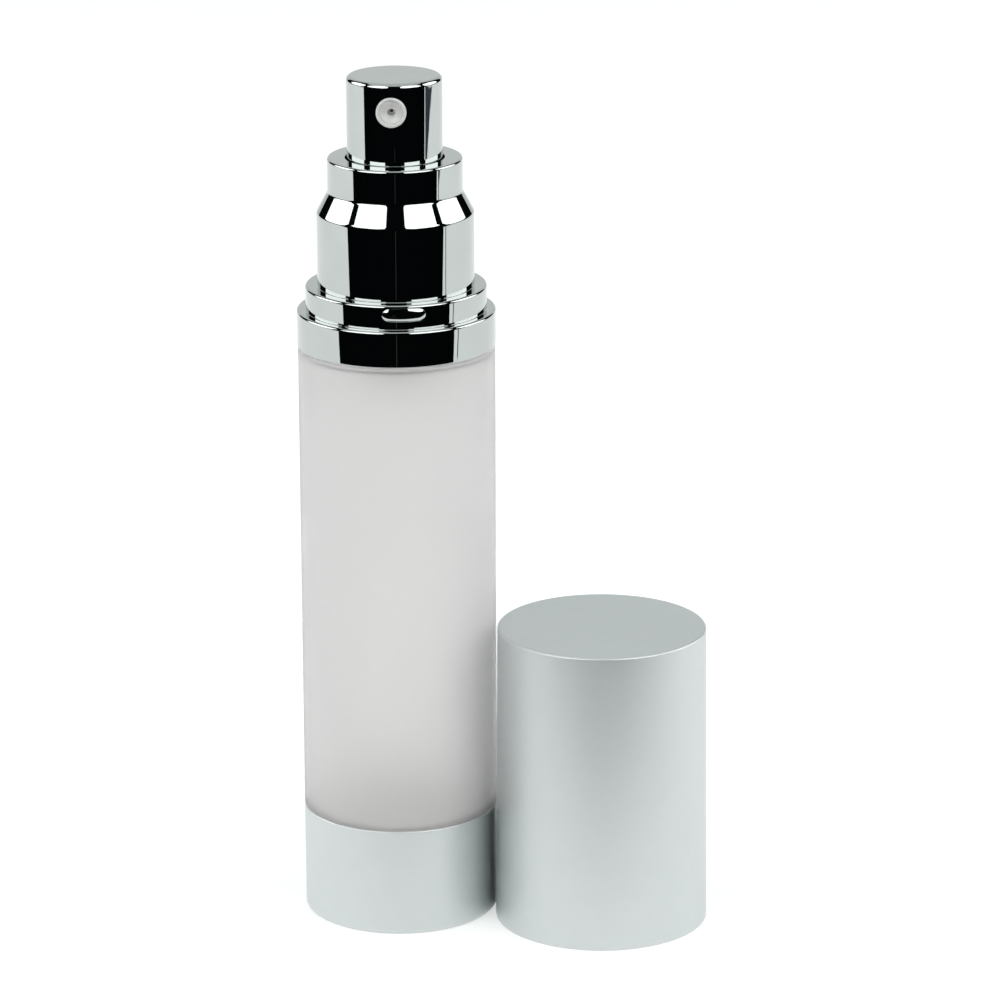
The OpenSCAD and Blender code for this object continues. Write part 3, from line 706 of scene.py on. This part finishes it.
class BOTTLE_OT_collar(bpy.types.Operator):
    """Makes the bright stepped collar with its snap beads"""
    bl_idname = "bottle.collar"
    bl_label = "Collar"

    def execute(self, context):
        s = context.scene.collar_sizes
        ledge_z = COLLAR_Z0 + s.ring_h
        seat_z = ledge_z + s.seat_h
        cone_z = seat_z + s.shroud_h
        top_z = cone_z + s.cone_h
        hole_r = BUTTON_R + s.button_gap
        w = s.wall
        inner, overhang = mm(0.12), mm(0.13)
        bm = bmesh.new()
        ring_r = BOTTLE_R + overhang
        turn_outline(bm, rounded([
            (ring_r - w, COLLAR_Z0, SHEET),
            (ring_r, COLLAR_Z0, ROLLED),
            (ring_r, ledge_z, s.edge),
            (s.seat_r, ledge_z, inner),
            (s.seat_r, seat_z, s.edge),
            (s.shroud_r, seat_z, inner),
            (s.shroud_r, cone_z, s.cone_edge),
            (s.top_r, top_z, s.cone_edge),
            (s.top_r, COLLAR_Z1, s.edge),
            (hole_r, COLLAR_Z1, EASED),
            (hole_r, COLLAR_Z1 - w),
            (s.top_r - w, COLLAR_Z1 - w, inner),
            (s.top_r - w, top_z - w / 4, SOFT),
            (s.shroud_r - w, cone_z - w / 4, SOFT),
            (s.shroud_r - w, seat_z - w, SOFT),
            (s.seat_r - w, seat_z - w, inner),
            (s.seat_r - w, ledge_z - w, SOFT),
            (ring_r - w, ledge_z - w, inner),
        ], True), True, MIRROR_SIDES)
        for i in range(s.bead_n):
            snap_bead(bm, s.seat_r, ledge_z + s.bead_up, s, s.bead_angle + i * 2 * math.pi / s.bead_n)
        place(mesh_object("collar", bm), "chrome_plated_abs", "collar", "collar_shell")
        return {"FINISHED"}


class BOTTLE_OT_button(bpy.types.Operator):
    """Makes the bright push button"""
    bl_idname = "bottle.button"
    bl_label = "Push button"

    def execute(self, context):
        s = context.scene.button_sizes
        inner_r = BUTTON_R - s.wall
        nozzle_z = sum(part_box("nozzle_insert"), Vector()).z / 2
        piece = lathe("button", [
            (0, BUTTON_Z1 - s.wall),
            (inner_r, BUTTON_Z1 - s.wall, s.edge / 2),
            (inner_r, BUTTON_Z0, FINE),
            (BUTTON_R, BUTTON_Z0, EASED),
            (BUTTON_R, BUTTON_Z1, s.edge),
            (0, BUTTON_Z1),
        ], closed=False, segments=MIRROR_SIDES)
        bore(piece, s.hole_r, (0, -BUTTON_R, nozzle_z), along=(0, 1, 0), length=mm(6))
        round_normals(piece, BUTTON_R)
        place(piece, "chrome_plated_abs", "actuator", "actuator_shell")
        return {"FINISHED"}


class BOTTLE_OT_nozzle(bpy.types.Operator):
    """Makes the off-white nozzle insert"""
    bl_idname = "bottle.nozzle"
    bl_label = "Nozzle insert"

    def execute(self, context):
        s = context.scene.button_sizes
        low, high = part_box("nozzle_insert")
        length = high.y - low.y
        flat, groove, lip = mm(0.35), mm(0.3), mm(0.08)
        rim_r = s.nozzle_r - s.rim
        dish_z = length - s.dish
        floor_z = dish_z - s.recess
        piece = lathe("nozzle", [
            (s.orifice_r, 0),
            (s.nozzle_r, 0),
            (s.nozzle_r, length, SHEET),
            (rim_r, length, FINE),
            (rim_r - groove / 5, length - groove),
            (rim_r - groove, length - groove * 0.7, lip),
            (s.outlet_r + flat, dish_z, FINE),
            (s.outlet_r, dish_z, lip),
            (s.outlet_r, floor_z, FINE),
            (s.orifice_r, floor_z),
        ], segments=SMALL_SIDES)
        turn = Matrix.Translation((0, high.y, (low.z + high.z) / 2)) @ Matrix.Rotation(math.pi / 2, 4, "X")
        piece.data.transform(turn)
        place(piece, "nozzle_pp", "actuator", "nozzle_insert")
        return {"FINISHED"}


class BOTTLE_OT_cap(bpy.types.Operator):
    """Makes the satin metal cap and its plastic liner"""
    bl_idname = "bottle.cap"
    bl_label = "Cap and liner"

    def execute(self, context):
        s = context.scene.cap_sizes
        top_r = CAP_R - s.draft
        height = CAP_Z1 - CAP_Z0
        at = Matrix.Translation((CAP_AXIS.x, CAP_AXIS.y, 0))
        shell = lathe("cap", [
            (0, CAP_Z1 - s.wall),
            (top_r - s.wall, CAP_Z1 - s.wall, SHEET),
            (CAP_R - s.wall, CAP_Z0, SHEET),
            (CAP_R, CAP_Z0, ROLLED),
            (top_r, CAP_Z1, s.edge),
            (0, CAP_Z1),
        ], closed=False, segments=MIRROR_SIDES)
        shell.data.transform(at)
        place(shell, "satin_aluminium", "cap", "cap_shell")

        def outer_r(z):
            return CAP_R - s.draft * (z - CAP_Z0) / height - s.wall - SNUG

        skirt_r = CAP_R - s.wall - SNUG - s.skirt_wall
        ledge_z = CAP_Z0 + s.skirt_h
        sleeve_z = ledge_z + s.sleeve_h
        bore_r = top_r - s.wall - SNUG - s.liner_wall
        under_z = LINER_Z1 - s.liner_wall
        top_edge, taper = mm(0.5), mm(0.5)
        bm = bmesh.new()
        turn_outline(bm, rounded([
            (0, under_z),
            (bore_r, under_z, top_edge),
            (bore_r, sleeve_z + taper, SOFT),
            (s.sleeve_r, sleeve_z, SOFT),
            (s.sleeve_r, ledge_z, SOFT),
            (skirt_r, ledge_z, EASED),
            (skirt_r, LINER_Z0, SHEET),
            (outer_r(LINER_Z0), LINER_Z0),
            (outer_r(LINER_Z1), LINER_Z1, SOFT),
            (0, LINER_Z1),
        ], False), False, SIDES)
        rib_l, rib_t, rib_h, rib_edge, sink = mm(4), mm(0.8), mm(2), mm(0.12), mm(0.15)
        for i in range(s.rib_n):
            angle = 2 * math.pi * i / s.rib_n
            centre = Vector((bore_r - rib_l / 2 + sink, 0, under_z - rib_h / 2 + sink))
            turn = Matrix.Rotation(angle, 4, "Z") @ Matrix.Translation(centre)
            size = Matrix.Diagonal((rib_l, rib_t, rib_h, 1))
            made = bmesh.ops.create_cube(bm, size=1, matrix=turn @ size)
            edges = list({e for v in made["verts"] for e in v.link_edges})
            bmesh.ops.bevel(bm, geom=edges, offset=rib_edge, segments=2, affect="EDGES")
        liner = mesh_object("cap_lining", bm)
        liner.data.transform(at)
        place(liner, "natural_pp", "cap", "cap_liner")
        return {"FINISHED"}


class BOTTLE_OT_spring(bpy.types.Operator):
    """Makes the return spring of the pump"""
    bl_idname = "bottle.spring"
    bl_label = "Return spring"

    def execute(self, context):
        wire_r, turns, end_rise, wire_sides = mm(0.35), 6.5, mm(1.15), 12
        mean_r = SPRING_R - wire_r
        rise = SPRING_Z1 - SPRING_Z0 - 2 * wire_r
        mid_rise = rise - 2 * end_rise

        def level(turn):
            """The wire's level after so many turns: the first and the last turn lie closer than the rest."""
            if turn < 1:
                climbed = end_rise * turn
            elif turn > turns - 1:
                climbed = rise - end_rise * (turns - turn)
            else:
                climbed = end_rise + mid_rise * (turn - 1) / (turns - 2)
            return SPRING_Z0 + wire_r + climbed

        bm = bmesh.new()
        section = [(mean_r + wire_r * math.cos(a), wire_r * math.sin(a))
                   for a in (2 * math.pi * k / wire_sides for k in range(wire_sides))]
        helix(bm, section, turns, level, steps=48)
        piece = place(mesh_object("spring", bm), "spring_steel", "pump_engine", "return_spring")
        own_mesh(piece)
        return {"FINISHED"}


class BOTTLE_OT_inner_pieces(bpy.types.Operator):
    """Gives their finishes to the pieces inside, which keep their frame meshes"""
    bl_idname = "bottle.inner_pieces"
    bl_label = "Inner pieces"

    def execute(self, context):
        slots = {p["node"]: p["material_slot"] for p in frame["record"]["subparts"]}
        inside = [
            "base_plug", "pump_housing", "neck_gasket", "pump_retainer", "ball_cage", "inlet_ball",
            "screw_closure", "lower_stem", "upper_stem", "pump_piston", "outlet_ball", "actuator_core",
        ]
        for name in inside:
            piece = frame["nodes"][name]
            piece.data.materials.clear()
            piece.data.materials.append(finish_of(slots[name]))
        return {"FINISHED"}


# The photograph's camera: where it stands, how it is turned, and its lens on a 36 mm sensor
CAMERA_AT = (0.05592, -0.81724, 0.31937)
CAMERA_HEADING = math.radians(-2.712)
CAMERA_DROP = math.radians(16.802)
CAMERA_ROLL = math.radians(-0.217)
CAMERA_LENS = 182.49
SENSOR = 36.0

# The two softboxes on each side of the camera: degrees to the side, and degrees upwards
SOFTBOXES = {"front": ((16, 69), (10, 52)), "side": ((79, 125), (3, 40))}


class BottleStage(bpy.types.PropertyGroup):
    front_edge: FloatProperty(
        name="Table edge", description="Distance of the table's front edge from the bottle", default=0.145,
        unit="LENGTH")
    table: FloatVectorProperty(
        name="Table", description="Colour of the table top", default=rgb("D0D2D1"), subtype="COLOR")
    lift: FloatProperty(name="Table lift", description="How far the table is lifted to white", default=0.47)
    tent: FloatVectorProperty(
        name="Tent", description="Colour of the pale paper tent", default=rgb("DFE3E2"), subtype="COLOR")
    tent_gap: FloatProperty(
        name="Tent gap", description="Half of the angle behind the bottle where no curtain hides the tent",
        default=math.radians(33), subtype="ANGLE")
    curtain_top: FloatProperty(
        name="Curtain top", description="Angle of the curtain's upper edge above the bottle",
        default=math.radians(57), subtype="ANGLE")
    curtain: FloatVectorProperty(
        name="Curtain", description="Colour of the black curtain", default=rgb("0E1214"), subtype="COLOR")
    softbox: FloatProperty(name="Softbox", description="Brightness of the softboxes", default=2.6)
    slit: FloatProperty(name="Slit", description="Brightness of the gap in the curtain", default=0.05)


def make_camera(scene):
    """The camera at the photograph's viewing angle."""
    data = bpy.data.cameras.new("camera")
    data.lens, data.sensor_width = CAMERA_LENS, SENSOR
    data.clip_start, data.clip_end = 0.05, 20
    camera = bpy.data.objects.new("camera", data)
    scene.collection.objects.link(camera)
    forward = Vector((
        math.sin(CAMERA_HEADING) * math.cos(CAMERA_DROP),
        math.cos(CAMERA_HEADING) * math.cos(CAMERA_DROP),
        -math.sin(CAMERA_DROP)))
    level = Vector((math.cos(CAMERA_HEADING), -math.sin(CAMERA_HEADING), 0))
    upright = level.cross(forward)
    right = level * math.cos(CAMERA_ROLL) + upright * math.sin(CAMERA_ROLL)
    up = upright * math.cos(CAMERA_ROLL) - level * math.sin(CAMERA_ROLL)
    turn = Matrix((right, up, -forward)).transposed().to_4x4()
    camera.matrix_world = Matrix.Translation(CAMERA_AT) @ turn
    scene.camera = camera


def stage_mesh(name, bm, material):
    """A piece of the studio that shows in the metal, and not to the camera or through the tube."""
    made = mesh_object(name, bm)
    made.data.materials.append(material)
    made.visible_camera = False
    made.visible_transmission = False


def toward(azimuth, elevation):
    """The direction at an azimuth, from the front to the right, and an elevation, both in degrees."""
    a, e = math.radians(azimuth), math.radians(elevation)
    return Vector((math.sin(a) * math.cos(e), -math.cos(a) * math.cos(e), math.sin(e)))


def softbox(name, azimuths, elevations, brightness):
    """A flat softbox with cut corners that fills these angles, seen from the pump head."""
    pump_head, distance, cut_off = Vector((0, 0, 0.12)), 1.6, 0.22
    middle = toward(sum(azimuths) / 2, sum(elevations) / 2)
    spots = [toward(azimuths[i], elevations[j]) for i, j in ((0, 0), (1, 0), (1, 1), (0, 1))]
    corners = [pump_head + d * distance / d.dot(middle) for d in spots]
    bm = bmesh.new()
    ends = []
    for at, after in zip(corners, corners[1:] + corners[:1]):
        ends += [at.lerp(after, cut_off), after.lerp(at, cut_off)]
    bm.faces.new([bm.verts.new(c) for c in ends])
    stage_mesh(name, bm, plain_material("glow_" + name, "ShaderNodeEmission", {"Strength": brightness}))


def drum(radius, low, high, start, end, lid):
    """A curved wall round the bottle between two angles from the front, with a lid at its top or its foot."""
    bm = bmesh.new()
    steps = 64
    angles = [start + (end - start) * k / steps for k in range(steps + 1)]
    foot, head = [[bm.verts.new((radius * math.sin(a), -radius * math.cos(a), z)) for a in angles]
                  for z in (low, high)]
    middle = bm.verts.new((0, 0, lid))
    rim = foot if lid == low else head
    for k in range(steps):
        bm.faces.new((foot[k], foot[k + 1], head[k + 1], head[k]))
        bm.faces.new((rim[k], rim[k + 1], middle))
    return bm


def make_room(s, ahead):
    """The paper tent, the black curtain round its front and sides, and the gap in the curtain."""
    tent_r, curtain_r, floor_z, roof_z = 2.6, 2.3, -1.2, 4.4
    stage_mesh("tent", drum(tent_r, floor_z, roof_z, ahead, ahead + 2 * math.pi, roof_z),
               plain_material("pale_tent_paper", "ShaderNodeEmission", {"Color": (*s.tent, 1.0)}))
    reach = math.pi - s.tent_gap
    curtain_z = curtain_r * math.tan(s.curtain_top)
    stage_mesh("curtain", drum(curtain_r, floor_z, curtain_z, ahead - reach, ahead + reach, floor_z),
               plain_material("black_curtain_cloth", "ShaderNodeBsdfDiffuse", {"Color": (*s.curtain, 1.0)}))
    slit_r, low, high, half_w = 0.6, -0.5, 0.0, mm(4)
    x, y = slit_r * math.sin(ahead), -slit_r * math.cos(ahead)
    bm = bmesh.new()
    corners = [(x - half_w, y, low), (x + half_w, y, low), (x + half_w, y, high), (x - half_w, y, high)]
    bm.faces.new([bm.verts.new(c) for c in corners])
    stage_mesh("slit", bm, plain_material("glow_slit", "ShaderNodeEmission", {"Strength": s.slit}))


def make_lamp_foot(ahead):
    """The dark foot of a lamp stand on the table, at the right. The plating shows it as a thin dark line.

    Its outline is given as distances from the bottle in metres and degrees from the camera's heading.
    """
    outline = [
        (0.38, 72.2), (0.43, 75.8), (0.555, 77.5), (0.6, 80), (0.7, 80), (0.68, 104), (0.64, 94), (0.6, 87),
        (0.555, 78.8), (0.43, 77), (0.38, 73.2)]
    bm = bmesh.new()
    above = Vector((0, 0, mm(1)))
    bm.faces.new([bm.verts.new(toward(math.degrees(ahead) + angle, 0) * reach + above)
                  for reach, angle in outline])
    bmesh.ops.triangulate(bm, faces=bm.faces)
    stage_mesh("lamp_foot", bm,
               plain_material("blue_black_paint", "ShaderNodeBsdfDiffuse", {"Color": hex_colour("3A424C")}))


def for_the_eye(tree, other, seen):
    """Mixes what the camera sees, also in metal and through the tube, with what lights the object."""
    path = add_node(tree, "ShaderNodeLightPath")
    direct = add_node(
        tree, "ShaderNodeMath", links={0: path.outputs["Is Camera Ray"], 1: path.outputs["Is Glossy Ray"]},
        operation="MAXIMUM")
    eye = add_node(
        tree, "ShaderNodeMath", links={0: direct.outputs[0], 1: path.outputs["Is Transmission Ray"]},
        operation="MAXIMUM")
    return add_node(
        tree, "ShaderNodeMixShader", links={0: eye.outputs[0], 1: other.outputs[0], 2: seen.outputs[0]})


def make_world(scene):
    """A white backdrop for the eye, and a plain level of light from it."""
    white, plain_level = (1, 1, 1, 1), 0.5
    world = bpy.data.worlds.new("studio")
    world.use_nodes = True
    tree = world.node_tree
    tree.nodes.clear()
    light = add_node(tree, "ShaderNodeBackground", {"Color": white, "Strength": plain_level})
    backdrop = add_node(tree, "ShaderNodeBackground", {"Color": white, "Strength": 1.0})
    eye = for_the_eye(tree, light, backdrop)
    add_node(tree, "ShaderNodeOutputWorld", links={"Surface": eye.outputs[0]})
    scene.world = world


def make_table(s, ahead):
    """A plain pale table top that keeps the object's shadow. It is lifted to white for the eye."""
    half_w, back = 2.6, 2.6
    bm = bmesh.new()
    corners = [(-half_w, -s.front_edge), (half_w, -s.front_edge), (half_w, back), (-half_w, back)]
    turn = Matrix.Rotation(ahead, 3, "Z")
    bm.faces.new([bm.verts.new(turn @ Vector((x, y, 0))) for x, y in corners])
    table = mesh_object("table", bm)
    material, tree = new_material("pale_table_paper")
    paper = add_node(tree, "ShaderNodeBsdfDiffuse", {"Color": (*s.table, 1.0)})
    lift = add_node(tree, "ShaderNodeEmission", {"Strength": s.lift})
    lifted = add_node(tree, "ShaderNodeAddShader", links={0: paper.outputs[0], 1: lift.outputs[0]})
    eye = for_the_eye(tree, paper, lifted)
    add_node(tree, "ShaderNodeOutputMaterial", links={"Surface": eye.outputs[0]})
    table.data.materials.append(material)


class BOTTLE_OT_stage(bpy.types.Operator):
    """Makes the table, the room, the softboxes and the camera"""
    bl_idname = "bottle.stage"
    bl_label = "Stage"

    def execute(self, context):
        scene = context.scene
        s = scene.bottle_stage
        scene.view_settings.view_transform = "Standard"
        make_camera(scene)
        make_world(scene)
        ahead = math.atan2(CAMERA_AT[0], -CAMERA_AT[1])
        make_table(s, ahead)
        make_room(s, ahead)
        make_lamp_foot(ahead)
        turn = math.degrees(ahead)
        for side, word in ((-1, "left"), (1, "right")):
            for name, (sideways, upwards) in SOFTBOXES.items():
                azimuths = [turn + side * angle for angle in sideways]
                softbox(name + "_" + word, azimuths, upwards, s.softbox)
        return {"FINISHED"}


class BOTTLE_PT_panel(bpy.types.Panel):
    """Lists the pieces, the stage and their sizes and colours"""
    bl_idname = "BOTTLE_PT_panel"
    bl_label = "Airless pump bottle"
    bl_space_type = "VIEW_3D"
    bl_region_type = "UI"
    bl_category = "Bottle"

    def draw(self, context):
        for cls in OPERATORS:
            self.layout.operator(cls.bl_idname)
        for name in GROUPS:
            group = getattr(context.scene, name)
            box = self.layout.box()
            for key in group.bl_rna.properties.keys():
                if key not in ("rna_type", "name"):
                    box.prop(group, key)


GROUPS = {
    "bottle_sizes": BottleSizes,
    "follower_sizes": FollowerSizes,
    "collar_sizes": CollarSizes,
    "button_sizes": ButtonSizes,
    "cap_sizes": CapSizes,
    "bottle_metals": MetalColours,
    "bottle_stage": BottleStage,
}
OPERATORS = [
    BOTTLE_OT_tube, BOTTLE_OT_base, BOTTLE_OT_follower, BOTTLE_OT_collar, BOTTLE_OT_button,
    BOTTLE_OT_nozzle, BOTTLE_OT_cap, BOTTLE_OT_spring, BOTTLE_OT_inner_pieces, BOTTLE_OT_stage,
]


def register():
    for cls in [*GROUPS.values(), *OPERATORS, BOTTLE_PT_panel]:
        bpy.utils.register_class(cls)
    for name, cls in GROUPS.items():
        setattr(bpy.types.Scene, name, PointerProperty(type=cls))


def unregister():
    for name in GROUPS:
        delattr(bpy.types.Scene, name)
    for cls in reversed([*GROUPS.values(), *OPERATORS, BOTTLE_PT_panel]):
        bpy.utils.unregister_class(cls)


def main():
    register()
    bpy.ops.bottle.tube()
    bpy.ops.bottle.base()
    bpy.ops.bottle.follower()
    bpy.ops.bottle.collar()
    bpy.ops.bottle.button()
    bpy.ops.bottle.nozzle()
    bpy.ops.bottle.cap()
    bpy.ops.bottle.spring()
    bpy.ops.bottle.inner_pieces()
    bpy.ops.bottle.stage()


if __name__ == "__main__":
    main()
